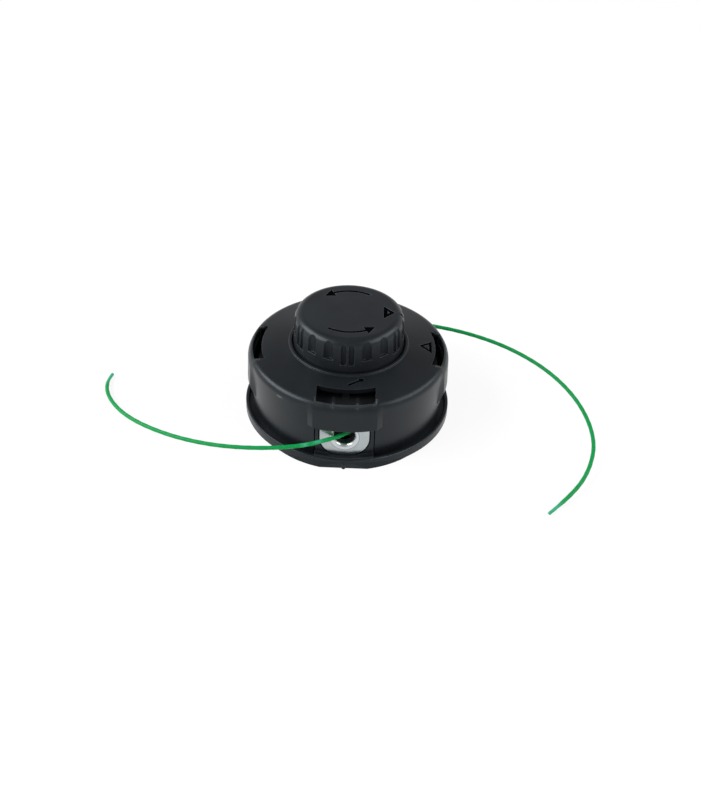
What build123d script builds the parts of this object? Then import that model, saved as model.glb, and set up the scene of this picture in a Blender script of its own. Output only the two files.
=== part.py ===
from build123d import *
import os
from math import asin, cos, degrees, pi, radians, sin, sqrt, tan

# Bump-feed line trimmer head, standing on its base flange with the bump knob up.
# Millimetres, +Z up, origin at the middle of the underside, front line outlet at -Y.

# Base flange and housing
FLANGE_DIAMETER = 98.6
RIM_HEIGHT = 4.5
RIM_WALL = 1.8
RIM_ROUND = 0.6
RIM_FOOT_ROUND = 0.3
TROUGH_DEPTH = 2.1
TROUGH_GAP = 2.3
FLOOR_UNDER_Z = 3.0
FLOOR_THICKNESS = 2.2
BASE_RING_INSET = 1.05
SPIGOT_WALL = 1.8
SPIGOT_HEIGHT = 4.0
SPIGOT_CLEARANCE = 0.15
RIB_COUNT = 8
RIB_WIDTH = 2.0
RIB_DROP = 2.2
GRIP_SWELL = 1.6
GRIP_SWELL_RADIUS = 43.3
GRIP_SWELL_HEIGHT = 3.8
GRIP_FLAT_RAISE = 0.2
GRIP_NUB_RADIUS = 0.9
GRIP_NUB_HEIGHT = 2.6

# Hub, drive nut and arbor
BOSS_RADIUS = 12.6
BOSS_FOOT_Z = 0.6
BOSS_CAP = 1.6
ARBOR_RADIUS = 8.0
ARBOR_STANDOUT = 2.4
ARBOR_CAP = 3.0
SOCKET_RADIUS = 6.2
NUT_ACROSS_FLATS = 17.0
NUT_HEIGHT = 8.4
NUT_CHAMFER = 0.8
THREAD_MINOR_RADIUS = 4.32

# Cover
COVER_WALL = 2.2
COVER_TOP_WALL = 2.4
WALL_FLARE = 2.0
SHOULDER_Z = 33.4
SHOULDER_ROUND = 3.0
CROWN_RISE = 3.2
LIP_HEIGHT = 0.8
LIP_WIDTH = 1.7
LIP_ROUND = 0.5

# Pads under the cover's four windows, and the notches for the line outlets
PAD_RAISE = 0.4
PAD_FLARE = 0.45
PAD_WIDTH = 29.2
PAD_EDGE = 2.4
PAD_TOP_DROP = 0.35
OUTLET_PAD_FOOT_Z = 19.6
OUTLET_PAD_FADE = 0.3
LATCH_PAD_FOOT_Z = 13.5
LATCH_PAD_FADE = 5.0
NOTCH_WIDTH = 27.9
SEAM = 0.45
WINDOW_WIDTH = 26.8
OUTLET_BRIDGE = 2.1
OUTLET_WINDOW_DEPTH = 9.2
LATCH_BRIDGE = 2.1
LATCH_WINDOW_DEPTH = 4.3
HOOK_RIB_SPACING = 10.8
HOOK_RIB_WIDTH = 1.0
HOOK_REACH = 3.8
HOOK_RIB_TOP_DROP = 0.9
HOOK_RIB_HEIGHT = 4.6
HOOK_LEDGE_DROP = 2.6
HOOK_LEDGE_THICKNESS = 1.4

# Spring latches of the housing and their catches in the cover
LATCH_WIDTH = 18.0
LATCH_TOP_Z = 25.5
BARB_REACH = 1.3
BARB_HEIGHT = 1.8
CATCH_THICKNESS = 1.7
CATCH_GAP = 0.2
CATCH_CLEARANCE = 0.4

# Line outlets
OUTLET_FACE_RAISE = 0.5
OUTLET_HEAD_Z = 23.2
SILL_RAISE = 0.5
EYELET_Z = 15.1
EYELET_WIDTH = 22.6
EYELET_FOOT_Z = 5.0
EYELET_HEAD_GAP = 0.8
EYELET_CORNER = 8.4
EYELET_PLATE = 1.8
EYELET_PROUD = 0.1
EYELET_SEAT_GAP = 0.3
SHANK_CLEARANCE = 0.05
THROAT_RADIUS = 4.6
FLARE_ROUND = 2.1
SHANK_WALL = 1.0

# Bump knob
KNOB_DIAMETER = 52.6
KNOB_TAPER = 0.9
KNOB_GAP = 0.4
KNOB_TOP_Z = 53.6
KNOB_EDGE_ROUND = 4.2
KNOB_WALL = 2.8
KNOB_CROWN = 3.0
COLLAR_WIDTH = 2.3
COLLAR_HEIGHT = 5.4
REST_GAP = 0.3
FLUTE_POSITIONS = 18
FLUTES_PER_DOUBLE = 3
FLUTE_WIDTH = 5.0
FLUTE_DEPTH = 1.4
FLUTE_FOOT_Z = 42.9
DOUBLE_FLUTE_WIDTH = 2.7
DOUBLE_FLUTE_DEPTH = 1.2
DOUBLE_FLUTE_SPACING = 3.6
DOUBLE_FLUTE_FOOT_Z = 40.9

# Recessed marks
MARK_DEPTH = 0.5
TURN_ARROW_RADIUS = 17.3
TURN_ARROW_SHAFT = 1.5
TURN_ARROW_START = -33.0
TURN_ARROW_NECK = 27.0
TURN_ARROW_TIP = 45.0
TURN_ARROW_HEAD_WIDTH = 6.0
KNOB_TRIANGLE_TIP = 21.2
KNOB_TRIANGLE_LENGTH = 5.4
KNOB_TRIANGLE_WIDTH = 10.6
KNOB_TRIANGLE_LINE = 1.8
COVER_TRIANGLE_TIP = 33.2
COVER_TRIANGLE_LENGTH = 6.2
COVER_TRIANGLE_WIDTH = 9.6
COVER_TRIANGLE_LINE = 1.3
INDEX_NOTCH_WIDTH = 1.4
INDEX_NOTCH_LENGTH = 2.3
INDEX_NOTCH_DEPTH = 2.9
FEED_ARROW_START = (0.8, -33.6)
FEED_ARROW_TIP = (8.2, -29.0)
FEED_ARROW_SHAFT = 1.3
FEED_ARROW_HEAD = 2.6
FEED_ARROW_HALF_WIDTH = 1.8

# Spool, windings and spring
BUMP_TRAVEL = 5.0
BUMP_CLEARANCE = 1.3
SPOOL_GAP = 0.85
SPOOL_FLANGE = 1.5
SPOOL_HUB_WALL = 2.4
SPOOL_BORE_CLEARANCE = 0.08
WEB_THICKNESS = 2.4
WEB_DROP = 2.0
KNOB_SEAT_WALL = 2.0
KNOB_SEAT_HEIGHT = 4.5
KNOB_SEAT_CLEARANCE = 0.1
ANCHOR_NOTCH_WIDTH = 3.0
ANCHOR_NOTCH_DEPTH = 7.0
LUG_COUNT = 8
LUG_RADIUS = 32.5
LUG_SIZE = 3.0
LUG_HEIGHT = 2.2
STOP_COUNT = 4
STOP_START = 45.0
STOP_WIDTH = 3.0
STOP_GAP = 0.4
WINDING_MARGIN = 6.2
WINDING_CLEARANCE = 0.1
WINDING_ROUND = 0.9
SPRING_WIRE = 1.6
SPRING_OPEN_TURNS = 3
SPRING_END_GAP = 0.2
SPRING_CLEARANCE = 0.6

# Cutting line. The points are chosen by hand along the two loose ends.
LINE_DIAMETER = 2.0
ARC_SHARE = 0.45
FRONT_LINE = [
    (1.8, -41.3, 14.9),
    (-2.0, -45.1, 14.6),
    (-7.8, -48.1, 14.2),
    (-19.0, -51.3, 13.5),
    (-37.5, -52.2, 11.9),
    (-60.0, -48.6, 9.6),
    (-82.6, -39.4, 7.2),
    (-103.4, -24.8, 4.8),
    (-115.6, -8.4, 3.0),
    (-119.9, 6.8, 1.6),
    (-118.0, 14.2, 1.05),
]
REAR_LINE = [
    (-1.8, 41.3, 14.9),
    (2.0, 45.1, 14.6),
    (7.8, 48.1, 14.2),
    (19.0, 51.4, 13.9),
    (37.5, 52.0, 13.3),
    (60.0, 47.6, 12.0),
    (82.4, 37.2, 10.4),
    (101.4, 19.8, 8.7),
    (113.6, -2.8, 7.0),
    (117.8, -28.0, 5.2),
    (112.6, -48.6, 3.5),
    (102.9, -64.4, 2.1),
    (91.7, -75.8, 1.05),
]

# Worked-out sizes
FLANGE_RADIUS = FLANGE_DIAMETER / 2
RIM_INNER_RADIUS = FLANGE_RADIUS - RIM_WALL
TROUGH_Z = RIM_HEIGHT - TROUGH_DEPTH
FLOOR_TOP_Z = FLOOR_UNDER_Z + FLOOR_THICKNESS
FOOT_RADIUS = RIM_INNER_RADIUS - TROUGH_GAP
SHOULDER_RADIUS = FOOT_RADIUS + WALL_FLARE
PAD_RADIUS = SHOULDER_RADIUS + PAD_RAISE
PAD_FOOT_RADIUS = PAD_RADIUS + PAD_FLARE
SPIGOT_RADIUS = FOOT_RADIUS - COVER_WALL - SPIGOT_CLEARANCE
SPIGOT_INNER_RADIUS = SPIGOT_RADIUS - SPIGOT_WALL
SPIGOT_TOP_Z = FLOOR_TOP_Z + SPIGOT_HEIGHT

KNOB_RADIUS = KNOB_DIAMETER / 2
KNOB_TOP_RADIUS = KNOB_RADIUS - KNOB_TAPER
KNOB_GRIP_RADIUS = (KNOB_RADIUS + KNOB_TOP_RADIUS) / 2
KNOB_INNER_RADIUS = KNOB_TOP_RADIUS - KNOB_WALL
HOLE_RADIUS = KNOB_RADIUS + KNOB_GAP
LIP_RADIUS = HOLE_RADIUS + LIP_WIDTH
CROWN_Z = SHOULDER_Z + CROWN_RISE
LIP_Z = CROWN_Z + LIP_HEIGHT
CROWN_SLOPE = CROWN_RISE / (SHOULDER_RADIUS - LIP_RADIUS)
CROWN_UNDER_Z = CROWN_Z - COVER_TOP_WALL
COLLAR_TOP_Z = CROWN_UNDER_Z - REST_GAP

SPOOL_BOTTOM_Z = FLOOR_TOP_Z + BUMP_TRAVEL + BUMP_CLEARANCE
SPOOL_TOP_Z = COLLAR_TOP_Z - COLLAR_HEIGHT
SPOOL_RADIUS = SPIGOT_INNER_RADIUS - SPOOL_GAP
CHAMBER_HEIGHT = (SPOOL_TOP_Z - SPOOL_BOTTOM_Z - 3 * SPOOL_FLANGE) / 2
WEB_TOP_Z = SPOOL_TOP_Z - WEB_DROP
WEB_UNDER_Z = WEB_TOP_Z - WEB_THICKNESS
SPRING_RADIUS = BOSS_RADIUS + SPRING_CLEARANCE + SPRING_WIRE / 2
SPRING_LENGTH = WEB_UNDER_Z - FLOOR_TOP_Z
SPOOL_HUB_INNER_RADIUS = SPRING_RADIUS + SPRING_WIRE / 2 + SPRING_CLEARANCE
SPOOL_HUB_RADIUS = SPOOL_HUB_INNER_RADIUS + SPOOL_HUB_WALL
WINDING_RADIUS = SPOOL_RADIUS - WINDING_MARGIN

NUT_TOP_Z = BOSS_FOOT_Z + NUT_HEIGHT
BOSS_TOP_Z = NUT_TOP_Z + BOSS_CAP
ARBOR_TOP_Z = WEB_TOP_Z + ARBOR_STANDOUT
SOCKET_TOP_Z = ARBOR_TOP_Z - ARBOR_CAP

OUTLET_RADIUS = FOOT_RADIUS + OUTLET_FACE_RAISE
OUTLET_WIDTH = NOTCH_WIDTH - 2 * SEAM
SILL_Z = RIM_HEIGHT + SILL_RAISE
EYELET_TOP_Z = OUTLET_HEAD_Z - EYELET_HEAD_GAP
EYELET_FACE_RADIUS = OUTLET_RADIUS + EYELET_PROUD
EYELET_BACK_RADIUS = EYELET_FACE_RADIUS - EYELET_PLATE
SHANK_RADIUS = THROAT_RADIUS + SHANK_WALL
OUTLET_WINDOW_OUTER = PAD_RADIUS - OUTLET_BRIDGE
OUTLET_WINDOW_INNER = OUTLET_WINDOW_OUTER - OUTLET_WINDOW_DEPTH
LATCH_WINDOW_OUTER = PAD_RADIUS - LATCH_BRIDGE
LATCH_WINDOW_INNER = LATCH_WINDOW_OUTER - LATCH_WINDOW_DEPTH
BARB_FOOT_Z = LATCH_TOP_Z - BARB_HEIGHT
CATCH_TOP_Z = BARB_FOOT_Z - CATCH_GAP

# A length that surely reaches past every piece it has to cut
REACH = FLANGE_DIAMETER + KNOB_TOP_Z
OUTLET_SIDES = (0, 180)
LATCH_SIDES = (90, 270)


def wall_radius(z):
    """Outer radius of the cover's tapered wall at a height."""
    return FOOT_RADIUS + WALL_FLARE * (z - TROUGH_Z) / (SHOULDER_Z - TROUGH_Z)


def crown_z(radius):
    """Height of the cover's conical top at a radius."""
    return CROWN_Z - CROWN_SLOPE * (radius - LIP_RADIUS)


def turned(points, rounds=None):
    """Solid turned about Z from (radius, height) corners, each with its own round."""
    rounds = rounds or [0] * len(points)
    outline = FilletPolyline(*points, radius=rounds, close=True)
    return revolve(Plane.XZ * make_face(outline), Axis.Z)


def ring(inner, outer, low, high):
    """Plain ring about Z between two radii and two heights."""
    return turned([(inner, low), (outer, low), (outer, high), (inner, high)])


def slab(width, low, high, near=0.0):
    """Block across the front half, in y from -REACH to -near, between two heights."""
    depth = REACH - near
    middle = Pos(0, -near - depth / 2, (low + high) / 2)
    return middle * Box(width, depth, high - low)


def at_sides(shape, angles):
    """Fused copies of a front piece, turned to the given angles about Z."""
    copies = [Rot(0, 0, angle) * shape for angle in angles]
    fused = copies[0]
    for copy in copies[1:]:
        fused = fused + copy
    return fused


def front_sector(width, inner, outer, low, high):
    """Part of a ring that lies within a width about the front."""
    return ring(inner, outer, low, high) & slab(width, low, high)


def tangent_path(points):
    """Path of straight runs and tangent arcs, each arc as large as its runs allow."""
    route = [Vector(*point) for point in points]
    radii = []
    for before, corner, after in zip(route, route[1:], route[2:]):
        arriving = corner - before
        leaving = after - corner
        turn = radians(arriving.get_angle(leaving))
        shorter = min(arriving.length, leaving.length)
        radii.append(ARC_SHARE * shorter / tan(turn / 2))
    return FilletPolyline(*route, radius=radii), radii


def line_end(name, points):
    """Loose end of cutting line swept along its route."""
    path, radii = tangent_path(points)
    section = Plane(origin=path @ 0, z_dir=path % 0) * Circle(LINE_DIAMETER / 2)
    tube = sweep(section, path=path)
    expected = pi * (LINE_DIAMETER / 2) ** 2 * path.length
    print(name, "radii", [round(radius, 1) for radius in radii])
    print(name, "length", round(path.length, 1), "volume share", round(tube.volume / expected, 4))
    return tube


def eyelet_outline(clearance):
    """Front outline of the eyelet plate: square head, rounded foot corners."""
    half = EYELET_WIDTH / 2 + clearance
    foot = EYELET_FOOT_Z - clearance
    head = EYELET_TOP_Z + clearance
    corner = EYELET_CORNER + clearance
    corners = [(-half, foot), (half, foot), (half, head), (-half, head)]
    return make_face(FilletPolyline(*corners, radius=[corner, corner, 0, 0], close=True))


def eyelet_plate(clearance, inner, outer):
    """Curved plate behind the eyelet's outline, between two radii."""
    prism = extrude(Plane.XZ * eyelet_outline(clearance), amount=REACH)
    return prism & ring(inner, outer, 0, SHOULDER_Z)


def outlet_axis_cylinder(radius, near, far):
    """Cylinder along the front outlet's axis, from near to far off the middle."""
    place = Plane(origin=(0, -near, EYELET_Z), z_dir=(0, -1, 0))
    return extrude(place * Circle(radius), amount=far - near)


def make_eyelet():
    """Flared line eyelet of one outlet: plate, shank and rounded throat."""
    body = eyelet_plate(0, EYELET_BACK_RADIUS, EYELET_FACE_RADIUS)
    body = body + outlet_axis_cylinder(SHANK_RADIUS, SPIGOT_INNER_RADIUS, EYELET_BACK_RADIUS)
    body = body - outlet_axis_cylinder(THROAT_RADIUS, 0, REACH)
    mouth = THROAT_RADIUS + FLARE_ROUND
    bottom = EYELET_FACE_RADIUS - FLARE_ROUND
    with_flare = [
        Line((0, bottom), (THROAT_RADIUS, bottom)),
        RadiusArc((THROAT_RADIUS, bottom), (mouth, EYELET_FACE_RADIUS), FLARE_ROUND),
        Line((mouth, EYELET_FACE_RADIUS), (mouth, REACH)),
        Line((mouth, REACH), (0, REACH)),
        Line((0, REACH), (0, bottom)),
    ]
    profile = make_face(Curve() + with_flare)
    upside_down = Plane(origin=(0, 0, EYELET_Z), x_dir=(1, 0, 0), z_dir=(0, 0, -1))
    cutter = revolve(upside_down * profile, Axis((0, 0, EYELET_Z), (0, 1, 0)))
    return body - cutter


def make_housing():
    """Base flange, floor, hub, arbor, outlet blocks and latches, moulded as one."""
    base_inner = SPIGOT_INNER_RADIUS - BASE_RING_INSET
    profile = [
        (base_inner, 0),
        (FLANGE_RADIUS, 0),
        (FLANGE_RADIUS, RIM_HEIGHT),
        (RIM_INNER_RADIUS, RIM_HEIGHT),
        (RIM_INNER_RADIUS, TROUGH_Z),
        (SPIGOT_RADIUS, TROUGH_Z),
        (SPIGOT_RADIUS, SPIGOT_TOP_Z),
        (SPIGOT_INNER_RADIUS, SPIGOT_TOP_Z),
        (SPIGOT_INNER_RADIUS, FLOOR_TOP_Z),
        (BOSS_RADIUS, FLOOR_TOP_Z),
        (BOSS_RADIUS, BOSS_TOP_Z),
        (ARBOR_RADIUS, BOSS_TOP_Z),
        (ARBOR_RADIUS, ARBOR_TOP_Z),
        (0, ARBOR_TOP_Z),
        (0, BOSS_FOOT_Z),
        (BOSS_RADIUS, BOSS_FOOT_Z),
        (BOSS_RADIUS, FLOOR_UNDER_Z),
        (base_inner, FLOOR_UNDER_Z),
    ]
    rounds = [0] * len(profile)
    rounds[1] = RIM_FOOT_ROUND
    rounds[2] = rounds[3] = RIM_ROUND
    housing = turned(profile, rounds)
    housing = housing - nut_blank(0)
    housing = housing - Pos(0, 0, NUT_TOP_Z) * Cylinder(
        SOCKET_RADIUS, SOCKET_TOP_Z - NUT_TOP_Z, align=(Align.CENTER, Align.CENTER, Align.MIN)
    )
    housing = housing + base_ribs(base_inner)
    housing = housing + at_sides(outlet_block(), OUTLET_SIDES)
    housing = housing + at_sides(latch_arm(), LATCH_SIDES)
    return housing + at_sides(grip_swell(), OUTLET_SIDES)


def base_ribs(outer):
    """Radial ribs under the floor, from the boss to the base ring."""
    inner = BOSS_RADIUS * cos(asin(RIB_WIDTH / 2 / BOSS_RADIUS))
    low = FLOOR_UNDER_Z - RIB_DROP
    rib = Pos((inner + outer) / 2, 0, (low + FLOOR_UNDER_Z) / 2) * Box(
        outer - inner + RIM_WALL, RIB_WIDTH, FLOOR_UNDER_Z - low
    )
    return at_sides(rib, [360 / RIB_COUNT * (i + 0.5) for i in range(RIB_COUNT)])


def outlet_block():
    """Block that carries one eyelet, with the sill that joins it to the rim."""
    block = front_sector(OUTLET_WIDTH, SPIGOT_INNER_RADIUS, OUTLET_RADIUS, TROUGH_Z, OUTLET_HEAD_Z)
    sill = front_sector(OUTLET_WIDTH, SPIGOT_RADIUS, RIM_INNER_RADIUS + RIM_WALL / 2, TROUGH_Z, SILL_Z)
    seat = eyelet_plate(EYELET_SEAT_GAP, EYELET_BACK_RADIUS, REACH)
    bore = outlet_axis_cylinder(SHANK_RADIUS + SHANK_CLEARANCE, 0, REACH)
    return block + (sill - seat) - seat - bore


def latch_arm():
    """Springy arm at one side, with the barb that hooks over the cover's catch."""
    arm = front_sector(LATCH_WIDTH, SPIGOT_INNER_RADIUS, SPIGOT_RADIUS, FLOOR_TOP_Z, LATCH_TOP_Z)
    barb_profile = [
        (SPIGOT_INNER_RADIUS, BARB_FOOT_Z),
        (SPIGOT_RADIUS + BARB_REACH, BARB_FOOT_Z),
        (SPIGOT_RADIUS, LATCH_TOP_Z),
        (SPIGOT_INNER_RADIUS, LATCH_TOP_Z),
    ]
    return arm + (turned(barb_profile) & slab(LATCH_WIDTH, BARB_FOOT_Z, LATCH_TOP_Z))


def grip_swell():
    """Swelling of the flange's foot in front of an outlet, with a flat face and a nub."""
    top_radius = FLANGE_RADIUS - RIM_FOOT_ROUND
    offset_y = FLANGE_RADIUS + GRIP_SWELL - GRIP_SWELL_RADIUS
    upright = (Align.CENTER, Align.CENTER, Align.MIN)
    swell = Pos(0, -offset_y, 0) * Cone(
        GRIP_SWELL_RADIUS, top_radius - offset_y, GRIP_SWELL_HEIGHT, align=upright
    )
    flat_y = FLANGE_RADIUS + GRIP_FLAT_RAISE
    swell = swell & ring(RIM_INNER_RADIUS, REACH, 0, GRIP_SWELL_HEIGHT)
    swell = (swell & slab(FLANGE_DIAMETER, 0, GRIP_SWELL_HEIGHT)) - slab(REACH, 0, RIM_HEIGHT, flat_y)
    nub = Pos(0, -flat_y, 0) * Cylinder(GRIP_NUB_RADIUS, GRIP_NUB_HEIGHT, align=upright)
    return swell + nub


def nut_blank(bore_radius):
    """Hexagonal nut body, open at a bore if one is given."""
    hexagon = RegularPolygon(NUT_ACROSS_FLATS / 2, 6, major_radius=False)
    blank = Pos(0, 0, BOSS_FOOT_Z) * extrude(hexagon, amount=NUT_HEIGHT)
    if bore_radius:
        blank = blank - Cylinder(bore_radius, REACH)
    return blank


def make_mounting_nut():
    """Nut for the drive shaft, with a lead-in at its mouth."""
    nut = nut_blank(THREAD_MINOR_RADIUS)
    mouth = [
        (0, BOSS_FOOT_Z),
        (THREAD_MINOR_RADIUS + NUT_CHAMFER, BOSS_FOOT_Z),
        (THREAD_MINOR_RADIUS, BOSS_FOOT_Z + NUT_CHAMFER),
        (0, BOSS_FOOT_Z + NUT_CHAMFER),
    ]
    return nut - turned(mouth)


def cover_shell():
    """Turned cap of the cover: tapered wall, shoulder, conical top and hole lip."""
    inner_shoulder = SHOULDER_RADIUS - COVER_WALL
    inner_shoulder_z = crown_z(inner_shoulder) - COVER_TOP_WALL
    profile = [
        (FOOT_RADIUS, TROUGH_Z),
        (SHOULDER_RADIUS, SHOULDER_Z),
        (LIP_RADIUS, CROWN_Z),
        (LIP_RADIUS, LIP_Z),
        (HOLE_RADIUS, LIP_Z),
        (HOLE_RADIUS, CROWN_UNDER_Z),
        (LIP_RADIUS, CROWN_UNDER_Z),
        (inner_shoulder, inner_shoulder_z),
        (FOOT_RADIUS - COVER_WALL, TROUGH_Z),
    ]
    rounds = [0, SHOULDER_ROUND, 0, LIP_ROUND, LIP_ROUND, 0, 0, 0, 0]
    return turned(profile, rounds)


def pad_plan(z, radius):
    """Plan of a pad at a height: straight sides at its face, sloped edges down to the wall."""
    half = PAD_WIDTH / 2
    foot = half + PAD_EDGE
    right_half = [
        (half, -FLANGE_RADIUS),
        (half, -sqrt(radius**2 - half**2)),
        (foot, -sqrt(wall_radius(z) ** 2 - foot**2)),
        (foot, -OUTLET_WINDOW_INNER),
    ]
    corners = right_half + [(-x, y) for x, y in reversed(right_half)]
    return Pos(0, 0, z) * make_face(Polyline(*corners, close=True))


def window_pad(inner, foot_z, fade):
    """Raised pad under one window: soft sides, rounded top, foot that fades into the wall."""
    block = loft([pad_plan(foot_z, PAD_FOOT_RADIUS), pad_plan(SHOULDER_Z, PAD_RADIUS)], ruled=True)
    core = PAD_RADIUS - 2 * SHOULDER_ROUND
    profile = [
        (core, foot_z),
        (wall_radius(foot_z), foot_z),
        (PAD_FOOT_RADIUS, foot_z + fade),
        (PAD_RADIUS, SHOULDER_Z - PAD_TOP_DROP),
        (core, SHOULDER_Z - COVER_TOP_WALL / 2),
    ]
    pad = turned(profile, [0, 0, 0, SHOULDER_ROUND, 0]) & block
    return pad - Cylinder(inner, 2 * REACH)


def hook():
    """Two ribs and a ledge behind the bridge over an outlet."""
    outer = OUTLET_WINDOW_OUTER + OUTLET_BRIDGE / 2
    inner = OUTLET_WINDOW_OUTER - HOOK_REACH
    top = SHOULDER_Z - HOOK_RIB_TOP_DROP
    rib = front_sector(HOOK_RIB_WIDTH, inner, outer, top - HOOK_RIB_HEIGHT, top)
    ribs = Pos(-HOOK_RIB_SPACING / 2, 0, 0) * rib + Pos(HOOK_RIB_SPACING / 2, 0, 0) * rib
    ledge_top = top - HOOK_LEDGE_DROP
    ledge = front_sector(
        HOOK_RIB_SPACING, inner, outer, ledge_top - HOOK_LEDGE_THICKNESS, ledge_top
    )
    return ribs + ledge


def catch():
    """Ledge inside the wall at one side, under the latch's barb."""
    inner = SPIGOT_RADIUS + CATCH_CLEARANCE
    low = CATCH_TOP_Z - CATCH_THICKNESS
    return front_sector(LATCH_WIDTH, inner, wall_radius(low) - COVER_WALL / 2, low, CATCH_TOP_Z)


def cam_stops():
    """Stops under the conical top that face the spool's lugs."""
    low = SPOOL_TOP_Z + LUG_HEIGHT + STOP_GAP
    high = crown_z(LUG_RADIUS) - COVER_TOP_WALL / 2
    half = LUG_SIZE / 2
    stop = front_sector(STOP_WIDTH, LUG_RADIUS - half, LUG_RADIUS + half, low, high)
    return at_sides(stop, [STOP_START + 360 / STOP_COUNT * i for i in range(STOP_COUNT)])


def crown_skin():
    """Thin layer at the top of the conical face, for marks of even depth."""
    edge = SHOULDER_RADIUS - SHOULDER_ROUND
    return turned(
        [
            (LIP_RADIUS, CROWN_Z - MARK_DEPTH),
            (edge, crown_z(edge) - MARK_DEPTH),
            (edge, crown_z(edge) + LIP_HEIGHT),
            (LIP_RADIUS, CROWN_Z + LIP_HEIGHT),
        ]
    )


def triangle_mark(tip, length, width, line):
    """Outlined triangle along +X with its tip at a radius; a negative length points inward."""
    base = tip - length
    outer = make_face(Polyline((tip, 0), (base, width / 2), (base, -width / 2), close=True))
    return outer - offset(outer, amount=-line)


def turn_arrow():
    """Curved arrow near the knob's front edge, pointing to the right."""
    start = TURN_ARROW_START - 90
    neck = TURN_ARROW_NECK - 90
    tip = radians(TURN_ARROW_TIP - 90)
    band = CenterArc((0, 0), TURN_ARROW_RADIUS, start, neck - start)
    shaft = trace(band, line_width=TURN_ARROW_SHAFT)
    inner = TURN_ARROW_RADIUS - TURN_ARROW_HEAD_WIDTH / 2
    outer = TURN_ARROW_RADIUS + TURN_ARROW_HEAD_WIDTH / 2
    side = radians(neck)
    head = Polyline(
        (inner * cos(side), inner * sin(side)),
        (outer * cos(side), outer * sin(side)),
        (TURN_ARROW_RADIUS * cos(tip), TURN_ARROW_RADIUS * sin(tip)),
        close=True,
    )
    return shaft + make_face(head)


def feed_arrow():
    """Small slanted arrow on the cover in front of the knob."""
    start = Vector(*FEED_ARROW_START)
    tip = Vector(*FEED_ARROW_TIP)
    along = (tip - start).normalized()
    across = Vector(-along.Y, along.X)
    neck = tip - along * FEED_ARROW_HEAD
    half = FEED_ARROW_SHAFT / 2
    outline = [
        start - across * half,
        neck - across * half,
        neck - across * FEED_ARROW_HALF_WIDTH,
        tip,
        neck + across * FEED_ARROW_HALF_WIDTH,
        neck + across * half,
        start + across * half,
    ]
    return make_face(Polyline(*outline, close=True))


def make_cover():
    """Cap over the housing with four windows, outlet notches, catches and marks."""
    outlet_pad = window_pad(OUTLET_WINDOW_OUTER, OUTLET_PAD_FOOT_Z, OUTLET_PAD_FADE)
    latch_pad = window_pad(LATCH_WINDOW_OUTER, LATCH_PAD_FOOT_Z, LATCH_PAD_FADE)
    cover = cover_shell() + at_sides(outlet_pad, OUTLET_SIDES) + at_sides(latch_pad, LATCH_SIDES)
    notch = slab(NOTCH_WIDTH, 0, OUTLET_PAD_FOOT_Z, OUTLET_WINDOW_INNER)
    pocket = front_sector(
        NOTCH_WIDTH, OUTLET_WINDOW_INNER, EYELET_FACE_RADIUS + SEAM, 0, OUTLET_HEAD_Z + SEAM
    )
    cover = cover - at_sides(notch + pocket, OUTLET_SIDES)
    low = SPOOL_TOP_Z
    outlet_window = front_sector(
        WINDOW_WIDTH, OUTLET_WINDOW_INNER, OUTLET_WINDOW_OUTER, low, LIP_Z + LIP_HEIGHT
    )
    latch_window = front_sector(
        WINDOW_WIDTH, LATCH_WINDOW_INNER, LATCH_WINDOW_OUTER, low, LIP_Z + LIP_HEIGHT
    )
    cover = cover - at_sides(outlet_window, OUTLET_SIDES) - at_sides(latch_window, LATCH_SIDES)
    cover = cover + at_sides(hook(), OUTLET_SIDES) + at_sides(catch(), LATCH_SIDES) + cam_stops()
    triangle = triangle_mark(
        COVER_TRIANGLE_TIP, -COVER_TRIANGLE_LENGTH, COVER_TRIANGLE_WIDTH, COVER_TRIANGLE_LINE
    )
    marks = extrude(triangle, amount=LIP_Z) + extrude(feed_arrow(), amount=LIP_Z)
    return cover - (marks & crown_skin())


def flute_cutters():
    """Upright round cutters for the knob's side: two single flutes, then a double one."""
    single = flute_cutter(FLUTE_WIDTH, FLUTE_DEPTH, FLUTE_FOOT_Z)
    narrow = flute_cutter(DOUBLE_FLUTE_WIDTH, DOUBLE_FLUTE_DEPTH, DOUBLE_FLUTE_FOOT_Z)
    half_pitch = degrees(asin(DOUBLE_FLUTE_SPACING / 2 / KNOB_GRIP_RADIUS))
    cutters = []
    for position in range(FLUTE_POSITIONS):
        angle = 360 / FLUTE_POSITIONS * position
        if position % FLUTES_PER_DOUBLE:
            cutters.append(Rot(0, 0, angle) * single)
        else:
            cutters.append(Rot(0, 0, angle - half_pitch) * narrow)
            cutters.append(Rot(0, 0, angle + half_pitch) * narrow)
    return cutters


def flute_cutter(width, depth, foot):
    """Cylinder at the front whose cut into the knob has a width and a depth."""
    half = width / 2
    chord_y = sqrt(KNOB_GRIP_RADIUS**2 - half**2)
    bottom_y = KNOB_GRIP_RADIUS - depth
    rise = chord_y - bottom_y
    radius = (half**2 + rise**2) / (2 * rise)
    return Pos(0, -bottom_y - radius, foot) * Cylinder(
        radius, KNOB_TOP_Z, align=(Align.CENTER, Align.CENTER, Align.MIN)
    )


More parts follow.
